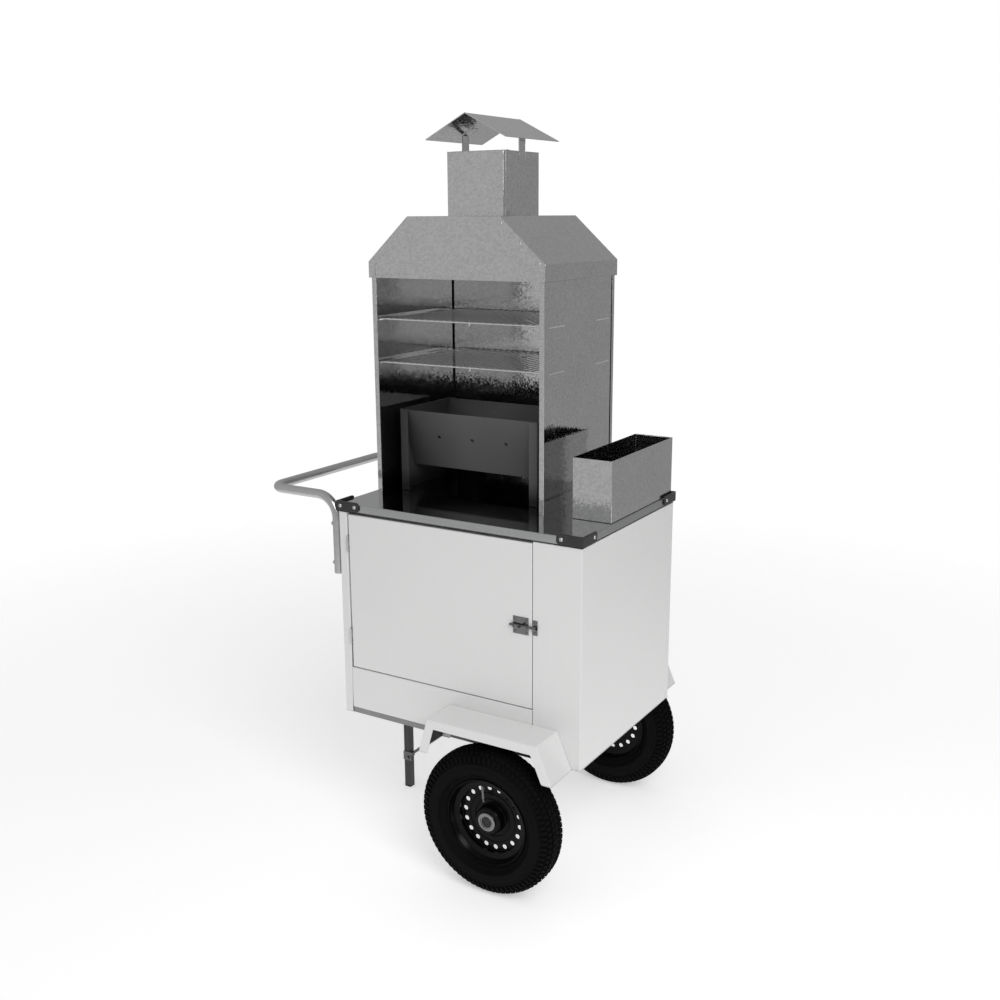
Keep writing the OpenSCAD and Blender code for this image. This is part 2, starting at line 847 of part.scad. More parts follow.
module firebox_side() {
    back = fire_back - fire_sheet;
    color("dimgray") place() {
        block([fire_left, fire_front, fire_rest], [fire_left + fire_sheet, fire_back, fire_top]);
        block([fire_left, fire_front, fire_rest],
              [fire_left + fire_fold, fire_front + fire_sheet, fire_top]);
        block([fire_left, back, fire_rest], [fire_left + fire_fold, fire_back, fire_top]);
    }
}

module firebox_left_side() {
    firebox_side();
}

module firebox_right_side() {
    translate([fire_left + fire_right - 2 * origin_x, 0, 0]) mirror([1, 0, 0]) firebox_side();
}

module firebox_trough() {
    top = fire_top - 1;
    half_floor = trough_floor / 2;
    half_top = fire_d / 2 - fire_sheet - 0.2;
    in = fire_sheet;
    lean = atan2(half_top - half_floor, top - trough_bottom);
    wall_in = in / cos(lean);
    floor_in = half_floor - in * (1 - sin(lean)) / cos(lean);
    hole_z = trough_bottom + 0.56 * (top - trough_bottom);
    hole_y = fire_mid_y - half_floor - tan(lean) * (hole_z - trough_bottom);
    mid_x = (fire_left + fire_right) / 2;
    color("dimgray") place() difference() {
        along_x(fire_left + fire_sheet, fire_right - fire_sheet) translate([fire_mid_y, 0]) polygon([
            [-half_floor, trough_bottom], [half_floor, trough_bottom], [half_top, top],
            [half_top - wall_in, top], [floor_in, trough_bottom + in],
            [-floor_in, trough_bottom + in], [-half_top + wall_in, top], [-half_top, top]
        ]);
        for (i = [-1:1]) translate([mid_x + i * air_hole_pitch, hole_y, hole_z])
            rotate([90 + lean, 0, 0]) cylinder(h = 20, r = air_hole_r, center = true);
    }
}

// ---- Grates ----

// A wire grate: two cross rods that rest on the tabs, the wires welded on top of them,
// and a small hook under the front rod
module grate(z) {
    left = chamber_left + rod_in;
    right = chamber_right - rod_in;
    front = chamber_front + 9;
    back = chamber_back - 12;
    count = floor((right - left - 2 * wire_margin) / wire_pitch);
    first = (left + right - count * wire_pitch) / 2;
    wire_z = z + grate_rod_r + wire_r - 0.8;
    color("gainsboro") place() {
        for (y = [front, back]) bar_x(y, z, grate_rod_r, left, right);
        for (i = [0:count]) bar_y(first + i * wire_pitch, wire_z, wire_r, front - 4, back + 4);
        block([left + 270, front - 1, z - 8], [left + 275, front + 1, z]);
    }
}

module upper_grate() {
    grate(upper_grate_z);
}

module lower_grate() {
    grate(lower_grate_z);
}

// ---- Side bin ----

module side_bin() {
    low = [bin_left, bin_front, top_z + gap];
    wall = [zinc_sheet, zinc_sheet, zinc_sheet];
    color("silver") place() difference() {
        block(low, low + [bin_w, bin_d, bin_h]);
        block(low + wall, low + [bin_w - zinc_sheet, bin_d - zinc_sheet, bin_h + 1]);
    }
}

// ---- Fenders ----

// The fender's outline seen from the front, with its lower boundary moved in
module fender_outline(in) {
    lean_left = atan2(fender_flat[0] - fender_ends[0], fender_z - fender_low);
    lean_right = atan2(fender_ends[1] - fender_flat[1], fender_z - fender_low);
    side_left = in / cos(lean_left);
    side_right = in / cos(lean_right);
    top_left = in * tan(45 - lean_left / 2);
    top_right = in * tan(45 - lean_right / 2);
    polygon([
        [fender_ends[0], fender_low], [fender_flat[0], fender_z], [fender_flat[1], fender_z],
        [fender_ends[1], fender_low], [fender_ends[1] - side_right, fender_low],
        [fender_flat[1] - top_right, fender_z - in], [fender_flat[0] + top_left, fender_z - in],
        [fender_ends[0] + side_left, fender_low]
    ]);
}

module fender() {
    color("white") place() {
        along_y(-fender_out, 0) fender_outline(sheet);
        along_y(-fender_out, -fender_out + sheet) fender_outline(fender_lip);
        along_y(-sheet, 0) fender_outline(fender_lip);
    }
}

module fender_front() {
    fender();
}

module fender_back() {
    mirror([0, 1, 0]) fender();
}

// ---- Wheels ----

// Puts a wheel's children on the axle, with -Y as the outer side
module at_wheel(back) {
    mirror([0, back ? 1 : 0, 0]) place() translate([wheel_x, -wheel_out, axle_z])
        rotate([90, 0, 0]) children();
}

// Revolves an outline of radius and distance outward along the axle
module wheel_turn() {
    rotate_extrude($fn = fine) children();
}

// The tyre's outline: a rounded crown and sidewalls, open to the rim
// Outer radius of the rim's flared bead seat at a distance from the middle of the wheel
function seat_r(out) = rim_r - 1.3 - (flare_half - out) / 2;

module tyre() {
    w = tyre_half;
    r = tyre_r;
    steps = 12;
    crown = [for (i = [-steps:steps])
        let (a = 90 * i / steps)
        [r - 58 + 58 * pow(cos(a), 0.62), w * (i < 0 ? -1 : 1) * pow(abs(sin(a)), 0.75)]];
    inside = [for (i = [1:2 * steps - 1])
        [crown[i].x - 9 - 3 * abs(crown[i].y) / w, crown[i].y * 0.84]];
    toe = seat_r(bead_half) + hole_gap;
    heel = seat_r(flare_half) + hole_gap;
    lip = rim_r + hole_gap;
    wheel_turn() difference() {
        polygon(concat(crown, [[rim_r + 2, 25], [lip, 23.4], [heel, flare_half], [toe, bead_half],
            [toe, -bead_half], [heel, -flare_half], [lip, -23.4], [rim_r + 2, -25]]));
        polygon(concat(inside, [[rim_r + 11, 24], [rim_r + 2, 14], [rim_r - 12, 8],
            [rim_r - 12, -8], [rim_r + 2, -14], [rim_r + 11, -24]]));
    }
}

// The rim: two flared bead seats with turned lips, and a drop well between them
module rim() {
    seat = seat_r(seat_half);
    flare = seat_r(flare_half);
    well = web_r + rim_t;
    wheel_turn() polygon([
        [rim_r, rim_half], [rim_r, rim_half - 2.5], [flare, flare_half], [seat, seat_half],
        [well, 6.4], [well, -6.4], [seat, -seat_half], [flare, -flare_half],
        [rim_r, 2.5 - rim_half], [rim_r, -rim_half], [rim_r - 1.8, -rim_half],
        [flare - rim_t, -flare_half], [seat - rim_t, -seat_half - 1.6], [web_r, -8],
        [web_r, 8], [seat - rim_t, seat_half + 1.6], [flare - rim_t, flare_half],
        [rim_r - 1.8, rim_half]
    ]);
}

// The flat vented disc between the rim and the hub
module wheel_disc() {
    difference() {
        wheel_turn() translate([hub_r + hole_gap, -disc_in - disc_t])
            square([web_r - hub_r - 2 * hole_gap, disc_t]);
        for (i = [0:vent_count - 1]) rotate([0, 0, vent_turn + 360 * i / vent_count])
            translate([vent_circle_r, 0, -disc_in - disc_t - 1]) cylinder(h = disc_t + 2, r = vent_r);
    }
}

// The hub: a tube with a boss that bears on the disc
module hub() {
    bore = axle_r + running_gap;
    wheel_turn() polygon([
        [bore, -hub_inner], [hub_r, -hub_inner], [hub_r, -disc_in], [hub_r + 14, -disc_in],
        [hub_r + 8, -disc_in + 8], [hub_r, -disc_in + 8], [hub_r, hub_outer], [bore, hub_outer]
    ]);
}

module hub_cap() {
    wheel_turn() polygon([
        [0, hub_outer + 2.5], [0, hub_outer + 3.5], [12, hub_outer + 3.5], [14, hub_outer + 5],
        [hub_r - 2, hub_outer + 5], [hub_r + 1, hub_outer + 3], [hub_r + 1, hub_outer],
        [hub_r - 3, hub_outer], [hub_r - 3, hub_outer + 2.5]
    ]);
}

module valve() {
    rotate([0, 0, 104]) translate([rim_r - 24.6, 0, 6]) rotate([0, -76, 0]) {
        cylinder(h = 30, r = 4);
        translate([0, 0, 30]) cylinder(h = 8, r = 3);
    }
}

module tyre_front() { color("black") at_wheel(false) tyre(); }
module rim_front() { color("darkslategray") at_wheel(false) rim(); }
module disc_front() { color("darkslategray") at_wheel(false) wheel_disc(); }
module hub_front() { color("darkslategray") at_wheel(false) hub(); }
module hub_cap_front() { color("silver") at_wheel(false) hub_cap(); }
module valve_front() { color("silver") at_wheel(false) valve(); }
module tyre_back() { color("black") at_wheel(true) tyre(); }
module rim_back() { color("darkslategray") at_wheel(true) rim(); }
module disc_back() { color("darkslategray") at_wheel(true) wheel_disc(); }
module hub_back() { color("darkslategray") at_wheel(true) hub(); }
module hub_cap_back() { color("silver") at_wheel(true) hub_cap(); }
module valve_back() { color("silver") at_wheel(true) valve(); }

bottom_frame();
frame_posts();
top_frame();
axle();
axle_brackets();
support_leg();
leg_foot();
leg_brace();
leg_bolt();
left_panel();
right_panel();
back_panel();
lower_front_panel();
floor_panel();
door_panel();
hinge_frame_leaves();
hinge_door_leaves();
hinge_pins();
latch_plate();
latch_bolt();
latch_keeper();
worktop();
guard_front_left();
guard_front_right();
guard_back_left();
guard_back_right();
guard_screws();
push_handle();
handle_bolts();
chamber_left_wall();
chamber_right_wall();
chamber_back_wall();
hood_shell();
hood_front();
hood_back();
chimney();
rivets();
cap_roof();
cap_straps();
firebox_left_side();
firebox_right_side();
firebox_trough();
upper_grate();
lower_grate();
side_bin();
fender_front();
fender_back();
tyre_front();
rim_front();
disc_front();
hub_front();
hub_cap_front();
valve_front();
tyre_back();
rim_back();
disc_back();
hub_back();
hub_cap_back();
valve_back();
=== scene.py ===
"""Looks of the barbecue cart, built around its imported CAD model. Lengths are metres."""

import json
import math

import bmesh
import bpy
from mathutils import Matrix, Vector
from mathutils.bvhtree import BVHTree


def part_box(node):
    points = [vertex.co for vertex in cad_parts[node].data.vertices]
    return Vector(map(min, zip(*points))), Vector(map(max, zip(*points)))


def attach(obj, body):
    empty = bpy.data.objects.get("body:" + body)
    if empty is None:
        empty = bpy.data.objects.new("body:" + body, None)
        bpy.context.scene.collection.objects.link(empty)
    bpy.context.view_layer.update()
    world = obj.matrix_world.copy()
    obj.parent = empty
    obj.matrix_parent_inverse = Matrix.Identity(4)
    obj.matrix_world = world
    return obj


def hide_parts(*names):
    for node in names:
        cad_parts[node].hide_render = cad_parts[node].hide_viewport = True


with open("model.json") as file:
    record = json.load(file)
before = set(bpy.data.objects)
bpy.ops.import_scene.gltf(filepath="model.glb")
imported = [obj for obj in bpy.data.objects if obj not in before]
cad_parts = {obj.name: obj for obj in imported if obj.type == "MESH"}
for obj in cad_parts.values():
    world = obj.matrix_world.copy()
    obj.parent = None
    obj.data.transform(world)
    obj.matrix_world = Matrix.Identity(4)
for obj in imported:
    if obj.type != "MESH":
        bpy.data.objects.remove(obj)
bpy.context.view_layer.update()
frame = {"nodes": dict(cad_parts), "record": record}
NODES = frame["nodes"]
BODY_OF = {n: b for b, names in frame["record"]["behaviour"]["bodies"].items() for n in names}
SLOT_OF = {s["node"]: s["material_slot"] for s in frame["record"]["subparts"]}
MM = 0.001


# ---- Camera, lamp and surroundings ----

CAMERA_AT = (1.63321, -2.51513, 1.61293)
CAMERA_YAW, CAMERA_PITCH, CAMERA_ROLL = 0.5484, -0.2398, -0.0056
CAMERA_LENS_MM = 42.087
LAMP_AT, LAMP_TARGET = (2.9, -2.2, 3.2), (0.0, 0.0, 0.9)
LAMP_SIDE, LAMP_WATTS = 2.4, 80
BRIGHT_SIDE = (-0.53, -0.85, 0.0)
WORLD_DIM, WORLD_BRIGHT = 0.41, 0.66


def make_camera():
    """The fitted camera of the photograph."""
    data = bpy.data.cameras.new("camera")
    data.sensor_width = 36.0
    data.lens = CAMERA_LENS_MM
    data.clip_start = 0.05
    camera = bpy.data.objects.new("camera", data)
    turn = (
        Matrix.Rotation(CAMERA_YAW, 4, "Z")
        @ Matrix.Rotation(math.pi / 2 + CAMERA_PITCH, 4, "X")
        @ Matrix.Rotation(CAMERA_ROLL, 4, "Z")
    )
    camera.matrix_world = Matrix.Translation(CAMERA_AT) @ turn
    bpy.context.scene.collection.objects.link(camera)
    bpy.context.scene.camera = camera


def make_lamp():
    """A large square soft box."""
    data = bpy.data.lights.new("key", "AREA")
    data.shape = "RECTANGLE"
    data.size = LAMP_SIDE
    data.size_y = LAMP_SIDE
    data.energy = LAMP_WATTS
    lamp = bpy.data.objects.new("key", data)
    direction = Vector(LAMP_TARGET) - Vector(LAMP_AT)
    turn = direction.to_track_quat("-Z", "Y").to_matrix().to_4x4()
    lamp.matrix_world = Matrix.Translation(LAMP_AT) @ turn
    bpy.context.scene.collection.objects.link(lamp)


def make_world():
    """Soft surroundings, brighter towards the front left; the camera itself sees a white backdrop."""
    world = bpy.data.worlds.new("studio")
    world.use_nodes = True
    tree = world.node_tree
    tree.nodes.clear()
    out = tree.nodes.new("ShaderNodeOutputWorld")
    light = tree.nodes.new("ShaderNodeBackground")
    backdrop = tree.nodes.new("ShaderNodeBackground")
    mix = tree.nodes.new("ShaderNodeMixShader")
    path = tree.nodes.new("ShaderNodeLightPath")
    coordinate = tree.nodes.new("ShaderNodeTexCoord")
    towards = tree.nodes.new("ShaderNodeVectorMath")
    towards.operation = "DOT_PRODUCT"
    towards.inputs[1].default_value = BRIGHT_SIDE
    ramp = tree.nodes.new("ShaderNodeMapRange")
    tree.links.new(coordinate.outputs["Generated"], towards.inputs[0])
    ramp.inputs["From Min"].default_value = -1.0
    ramp.inputs["From Max"].default_value = 1.0
    ramp.inputs["To Min"].default_value = WORLD_DIM
    ramp.inputs["To Max"].default_value = WORLD_BRIGHT
    tree.links.new(towards.outputs["Value"], ramp.inputs["Value"])
    tree.links.new(ramp.outputs["Result"], light.inputs["Strength"])
    backdrop.inputs["Color"].default_value = (1, 1, 1, 1)
    tree.links.new(path.outputs["Is Camera Ray"], mix.inputs["Fac"])
    tree.links.new(light.outputs[0], mix.inputs[1])
    tree.links.new(backdrop.outputs[0], mix.inputs[2])
    tree.links.new(mix.outputs[0], out.inputs["Surface"])
    bpy.context.scene.world = world


# ---- Node helpers for the materials ----


class Shader:
    """A material's node tree, with short calls to add nodes and join them."""

    def __init__(self, name, **constants):
        self.material = bpy.data.materials.new(name)
        self.material.use_nodes = True
        self.tree = self.material.node_tree
        self.bsdf = self.tree.nodes["Principled BSDF"]
        self.coordinate = self.add("TexCoord").outputs["Object"]
        for socket, value in constants.items():
            self.bsdf.inputs[socket.replace("_", " ")].default_value = value

    def add(self, kind, **settings):
        """A new node of this kind."""
        node = self.tree.nodes.new("ShaderNode" + kind)
        for key, value in settings.items():
            setattr(node, key, value)
        return node

    def put(self, socket, value):
        """Joins an output to an input, or sets the input's value."""
        if isinstance(value, bpy.types.NodeSocket):
            self.tree.links.new(value, socket)
        else:
            socket.default_value = value

    def noise(self, scale, detail=3.0, rough=0.5, vector=None):
        """Cloudy noise from 0 to 1. Scale counts its features per metre."""
        node = self.add("TexNoise")
        self.put(node.inputs["Vector"], vector or self.coordinate)
        node.inputs["Scale"].default_value = scale
        node.inputs["Detail"].default_value = detail
        node.inputs["Roughness"].default_value = rough
        return node.outputs["Fac"]

    def stretched(self, scales):
        """The coordinate scaled by its own factor on each axis."""
        node = self.add("Mapping")
        self.put(node.inputs["Vector"], self.coordinate)
        node.inputs["Scale"].default_value = scales
        return node.outputs["Vector"]

    def cells(self, scale, vector=None):
        """Crystals or grains, each with its own colour. Scale counts them per metre."""
        node = self.add("TexVoronoi", feature="F1")
        self.put(node.inputs["Vector"], vector or self.coordinate)
        node.inputs["Scale"].default_value = scale
        return node

    def span(self, value, low, high, from_low=0.0, from_high=1.0):
        """Maps a value from one range to another, and keeps it inside."""
        node = self.add("MapRange")
        self.put(node.inputs["Value"], value)
        node.inputs["From Min"].default_value = from_low
        node.inputs["From Max"].default_value = from_high
        node.inputs["To Min"].default_value = low
        node.inputs["To Max"].default_value = high
        return node.outputs["Result"]

    def math(self, operation, a, b=0.0):
        """A sum, product or the like of two values."""
        node = self.add("Math", operation=operation)
        self.put(node.inputs[0], a)
        self.put(node.inputs[1], b)
        return node.outputs[0]

    def vector(self, operation, a, b=(0, 0, 0)):
        """The same for vectors. For SCALE, b is the factor."""
        node = self.add("VectorMath", operation=operation)
        self.put(node.inputs[0], a)
        if operation == "SCALE":
            self.put(node.inputs["Scale"], b)
        elif operation != "NORMALIZE":
            self.put(node.inputs[1], b)
        return node.outputs[0]

    def blend(self, share, a, b):
        """A colour from a (share 0) to b (share 1)."""
        node = self.add("Mix", data_type="RGBA")
        self.put(node.inputs[0], share)
        self.put(node.inputs[6], a)
        self.put(node.inputs[7], b)
        return node.outputs[2]

    def bump(self, height, strength, distance, normal=None):
        """The normal of a relief, laid over another normal if one is given."""
        node = self.add("Bump")
        node.inputs["Strength"].default_value = strength
        node.inputs["Distance"].default_value = distance
        self.put(node.inputs["Height"], height)
        if normal is not None:
            self.put(node.inputs["Normal"], normal)
        return node.outputs["Normal"]

    def parts(self, colour):
        """The red, green and blue of a colour."""
        node = self.add("SeparateColor")
        self.put(node.inputs[0], colour)
        return node.outputs

    def set(self, socket, value):
        """Sets or joins an input of the surface shader."""
        self.put(self.bsdf.inputs[socket], value)


def grey(value, warm=0.0):
    """A near-neutral colour. A positive warm leans it to red, a negative one to blue."""
    return (value * (1 + warm), value, value * (1 - warm), 1.0)


# Zinc crystals per metre, for the two sizes that the spangle mixes
LARGE_CRYSTALS, SMALL_CRYSTALS = 210, 560


def galvanised(name, dark, light, rough=(0.07, 0.15), tilt=0.05):
    """Hot-dip zinc: every crystal of the spangle has its own shade and its own slight tilt."""
    s = Shader(name, Metallic=1.0)
    wobble = s.add("TexNoise")
    s.put(wobble.inputs["Vector"], s.coordinate)
    wobble.inputs["Scale"].default_value = 190
    place = s.vector("ADD", s.coordinate, s.vector("SCALE", wobble.outputs["Color"], 0.004))
    large = s.cells(LARGE_CRYSTALS, place).outputs["Color"]
    small = s.cells(SMALL_CRYSTALS, place).outputs["Color"]
    large_parts, small_parts = s.parts(large), s.parts(small)
    patches = s.noise(6, 5, 0.6)
    large_shade = s.math("MULTIPLY", large_parts[0], 0.40)
    small_shade = s.math("MULTIPLY", small_parts[0], 0.30)
    patch_shade = s.math("MULTIPLY", patches, 0.35)
    shade = s.math("ADD", s.math("ADD", large_shade, small_shade), patch_shade)
    s.set("Base Color", s.blend(shade, grey(dark), grey(light)))
    gloss = s.math("ADD", large_parts[1], s.math("MULTIPLY", patches, 0.6))
    s.set("Roughness", s.span(gloss, *rough, 0.2, 1.3))
    normal = s.add("NewGeometry").outputs["Normal"]
    for colour, amount in ((large, tilt), (small, tilt * 0.8)):
        lean = s.vector("SUBTRACT", colour, (0.5, 0.5, 0.5))
        normal = s.vector("ADD", normal, s.vector("SCALE", lean, amount))
    normal = s.vector("NORMALIZE", normal)
    s.set("Normal", s.bump(s.noise(11, 2), 0.05, 0.004, normal))
    return s.material


def white_paint(name, value=0.80, rough=0.24):
    """Gloss paint on sheet metal: orange peel, faint waviness and slightly uneven gloss."""
    s = Shader(name, Coat_Weight=0.25, Coat_Roughness=0.12, Specular_IOR_Level=0.5)
    clouds = s.noise(4.5, 5)
    specks = s.noise(60, 2)
    tone = s.math("ADD", s.math("MULTIPLY", clouds, 0.7), s.math("MULTIPLY", specks, 0.3))
    s.set("Base Color", s.blend(tone, grey(value * 0.965, 0.004), grey(value * 1.02, 0.002)))
    s.set("Roughness", s.span(clouds, rough - 0.02, rough + 0.03, 0.3, 0.7))
    peel = s.bump(s.noise(520, 2), 0.04, 0.0005)
    s.set("Normal", s.bump(s.noise(5, 1), 0.03, 0.004, peel))
    return s.material


def stainless(name, value, rough):
    """Polished sheet with fine parallel scratches along X, its rolling direction."""
    s = Shader(name, Metallic=1.0)
    streaks = s.noise(1.0, 3, 0.6, s.stretched((3, 260, 260)))
    handling = s.noise(6, 5, 0.62)
    s.set("Base Color", s.blend(streaks, grey(value * 0.93, -0.01), grey(value * 1.05, -0.01)))
    mixed = s.math("ADD", s.math("MULTIPLY", streaks, 0.55), s.math("MULTIPLY", handling, 0.45))
    s.set("Roughness", s.span(mixed, rough * 0.6, rough * 1.7, 0.3, 0.7))
    s.set("Normal", s.bump(streaks, 0.04, 0.0003, s.bump(s.noise(3.5, 1), 0.02, 0.004)))
    return s.material


def dark_paint(name, value, rough, variation=0.25, bump=0.10, specular=0.5):
    """Sprayed enamel on steel with dust and rubbed patches."""
    s = Shader(name, Specular_IOR_Level=specular)
    dust = s.noise(9, 6, 0.65)
    grain = s.noise(700, 2)
    s.set("Base Color", s.blend(dust, grey(value * (1 - variation)), grey(value * (1 + variation))))
    s.set("Roughness", s.span(dust, rough - 0.08, rough + 0.12, 0.3, 0.7))
    s.set("Normal", s.bump(grain, bump, 0.0006, s.bump(s.noise(14, 2), 0.05, 0.006)))
    return s.material


def shaded_firebox_paint(name, low, high):
    """Firebox enamel between two corners, with dust. Painted shade makes it black low down and at the left,
    and grey above and to the right.
    """
    s = Shader(name, Specular_IOR_Level=0.25)
    dust = s.noise(9, 6, 0.65)
    split = s.add("SeparateXYZ")
    s.put(split.inputs[0], s.coordinate)
    # Painted shade: across darkens the left part and upward the lowest part; their product is the painted
    # light, mixed with dust below
    across = s.span(split.outputs[0], 0.30, 1.0, low[0], low[0] + 0.45 * (high[0] - low[0]))
    height = s.math("ADD", split.outputs[2], s.math("MULTIPLY", dust, 0.02))
    upward = s.span(height, 0.05, 1.0, low[2] - 0.035, low[2] + 0.01)
    painted_light = s.math("MULTIPLY", across, upward)
    dusty_painted_light = s.math("MULTIPLY", dust, painted_light)
    lighter = s.math("ADD", s.math("MULTIPLY", painted_light, 0.8), s.math("MULTIPLY", dusty_painted_light, 0.4))
    s.set("Base Color", s.blend(lighter, grey(0.008), grey(0.125)))
    s.set("Roughness", s.span(dust, 0.32, 0.52, 0.3, 0.7))
    s.set("Normal", s.bump(s.noise(700, 2), 0.15, 0.0006, s.bump(s.noise(14, 2), 0.05, 0.006)))
    return s.material


def rubber(name, value, rough=0.60):
    """Tyre rubber: matt grain with paler dusty patches."""
    s = Shader(name, Specular_IOR_Level=0.07)
    dust = s.noise(11, 5, 0.6)
    grain = s.noise(900, 3)
    s.set("Base Color", s.blend(s.span(dust, 0, 1, 0.4, 0.75), grey(value * 0.7), grey(value * 1.6)))
    s.set("Roughness", s.span(dust, rough - 0.1, rough + 0.14, 0.3, 0.7))
    s.set("Normal", s.bump(grain, 0.22, 0.0005))
    return s.material


def plastic(name, value=0.022, rough=0.42):
    """Moulded plastic with a fine spark-eroded grain."""
    s = Shader(name, Specular_IOR_Level=0.5)
    soft = s.noise(30, 3)
    grain = s.cells(1500)
    s.set("Base Color", s.blend(soft, grey(value * 0.8), grey(value * 1.25)))
    s.set("Roughness", s.span(soft, rough - 0.07, rough + 0.1, 0.3, 0.7))
    s.set("Normal", s.bump(grain.outputs["Distance"], 0.12, 0.0003))
    return s.material


def plated(name, value, rough, variation=0.1, scale=80):
    """Bright zinc or chrome plate with faint polishing marks and fingerprints."""
    s = Shader(name, Metallic=1.0)
    marks = s.noise(scale, 5, 0.6)
    wipe = s.noise(8, 3)
    s.set("Base Color", s.blend(marks, grey(value * (1 - variation)), grey(value * (1 + variation * 0.6))))
    mixed = s.math("ADD", s.math("MULTIPLY", marks, 0.6), s.math("MULTIPLY", wipe, 0.4))
    s.set("Roughness", s.span(mixed, rough * 0.65, rough * 1.5, 0.3, 0.7))
    s.set("Normal", s.bump(marks, 0.06, 0.0004))
    return s.material


MATERIALS = {
    "galvanised": galvanised("galvanised sheet", 0.48, 0.76),
    "cabinet_paint": white_paint("white cabinet paint"),
    "stainless_top": stainless("stainless worktop", 0.46, 0.045),
    "chassis_paint": dark_paint("dark grey chassis paint", 0.026, 0.42, specular=0.2),
    "firebox_black": shaded_firebox_paint("black firebox paint", *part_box("firebox_trough")),
    "zinc_plated": plated("bright zinc plate", 0.66, 0.26),
    "latch_chrome": plated("chrome plate", 0.22, 0.16, 0.5, 260),
    "handle_tube": plated("plated handle tube", 0.58, 0.16, 0.08),
    "guard_plastic": plastic("black guard plastic"),
    "rubber_foot": rubber("black foot rubber", 0.014),
    "tyre_rubber": rubber("tyre rubber", 0.0035, 0.70),
    "rim_black": dark_paint("gloss black rim paint", 0.003, 0.20, 0.3, 0.04, 0.10),
    "cap_steel": plated("satin cap steel", 0.24, 0.28, 0.4, 160),
    "grate_wire": plated("bright grate wire", 0.74, 0.34, 0.12, 120),
}

# Finishes of single pieces that differ from the rest of their slot
SMOOTH_ZINC = galvanised("smooth galvanised sheet", 0.47, 0.76, (0.03, 0.08), 0.022)
# Painted shade: black paint for the faces inside and under the fenders
FENDER_SHADE = dark_paint("black painted_underside_shade", 0.02, 0.6, specular=0.2)
BRUSHED_EDGE = stainless("brushed worktop edge", 0.48, 0.22)
DULLED_ZINC = plated("dulled zinc plate", 0.16, 0.36, 0.3, 120)
LEG_PAINT = dark_paint("worn leg paint", 0.06, 0.42, specular=0.2)
RAIL_PAINT = dark_paint("worn grey rail paint", 0.25, 0.42)
CAP_CENTRE = plated("dulled cap centre", 0.05, 0.34, 0.5, 160)


# ---- Mesh helpers ----


def finish_piece(piece, body, slot, material=None):
    """Gives a piece its material, which is its slot's unless another is given, and the body it rides."""
    piece.data.materials.clear()
    piece.data.materials.append(material or MATERIALS[slot])
    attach(piece, body)
    return piece


def add_object(name, mesh):
    """Puts a mesh in the scene as an object of the same name."""
    piece = bpy.data.objects.new(name, mesh)
    bpy.context.scene.collection.objects.link(piece)
    return piece


def apply_modifiers(piece):
    """Bakes the piece's modifiers into its mesh."""
    depsgraph = bpy.context.evaluated_depsgraph_get()
    mesh = bpy.data.meshes.new_from_object(piece.evaluated_get(depsgraph))
    piece.modifiers.clear()
    piece.data = mesh


def second_finish(piece, material, chosen):
    """Gives a second material to the faces that chosen() picks."""
    piece.data.materials.append(material)
    for face in piece.data.polygons:
        if chosen(face):
            face.material_index = 1


def face_width(face, edge):
    """How far a face reaches across one of its edges."""
    along = (edge.verts[1].co - edge.verts[0].co).normalized()
    across = face.normal.cross(along)
    reach = [(v.co - edge.verts[0].co).dot(across) for v in face.verts]
    return max(reach) - min(reach)


# Points nearer than this are one point
WELD = 2e-6
# Neighbouring faces that turn less than this are one face
SAME_PLANE = math.radians(0.8)
# Edges that turn less than this stay as they are
LEAST_TURN = math.radians(24)
# A face narrower than this many sheet thicknesses is the sheet's cut edge
CUT_EDGE = 1.6
# Faces at least this wide shade flat
LEAST_FLAT = 1.6 * MM


def rounded(piece, fold, cut, sheet, segments):
    """Rounds a folded sheet's edges: its bends by the fold radius, and its cut edges by a little."""
    bm = bmesh.new()
    bm.from_mesh(piece.data)
    bmesh.ops.remove_doubles(bm, verts=bm.verts, dist=WELD)
    bmesh.ops.dissolve_limit(bm, angle_limit=SAME_PLANE, verts=bm.verts, edges=bm.edges)
    layers = bm.edges.layers.float
    weight = layers.get("bevel_weight_edge") or layers.new("bevel_weight_edge")
    for face in bm.faces:
        face.smooth = True
    for edge in bm.edges:
        edge.smooth = True
        edge[weight] = 0.0
        if len(edge.link_faces) != 2 or edge.calc_face_angle(0.0) < LEAST_TURN:
            continue
        narrow = min(face_width(f, edge) for f in edge.link_faces)
        if narrow < sheet * CUT_EDGE:
            radius = cut
        elif edge.is_convex:
            radius = fold
        else:
            radius = max(fold - sheet, cut)
        edge[weight] = radius / fold
    bm.to_mesh(piece.data)
    bm.free()
    bevel = piece.modifiers.new("edges", "BEVEL")
    bevel.limit_method = "WEIGHT"
    bevel.width = fold
    bevel.segments = segments
    bevel.use_clamp_overlap = False
    apply_modifiers(piece)
    # Only the bends and cut edges shade as curves
    bm = bmesh.new()
    bm.from_mesh(piece.data)
    for face in bm.faces:
        face.smooth = min(face_width(face, edge) for edge in face.edges) < LEAST_FLAT
    bm.to_mesh(piece.data)
    bm.free()


def formed(node, fold, cut, sheet, segments=3, suffix="sheet", material=None):
    """A piece that stands for a CAD node: the node's own shape with rounded bends and edges."""
    mesh = NODES[node].data.copy()
    mesh.name = f"{node}.{suffix}"
    piece = add_object(f"{node}.{suffix}", mesh)
    rounded(piece, fold, cut, sheet, segments)
    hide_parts(node)
    return finish_piece(piece, BODY_OF[node], SLOT_OF[node], material)


def formed_bar(node, material=None):
    """The same as formed(), for tube, bar and bolts."""
    formed(node, 0.8 * MM, 0.5 * MM, 2.0 * MM, 2, "bar", material)


def repaint(node):
    """Gives a CAD node its finish."""
    materials = NODES[node].data.materials
    materials.clear()
    materials.append(MATERIALS[SLOT_OF[node]])


def mesh_from(name, verts, faces, smooth=False):
    """A mesh from lists of points and faces."""
    mesh = bpy.data.meshes.new(name)
    mesh.from_pydata([tuple(v) for v in verts], [], faces)
    mesh.update()
    if smooth:
        mesh.polygons.foreach_set("use_smooth", [True] * len(mesh.polygons))
    return mesh


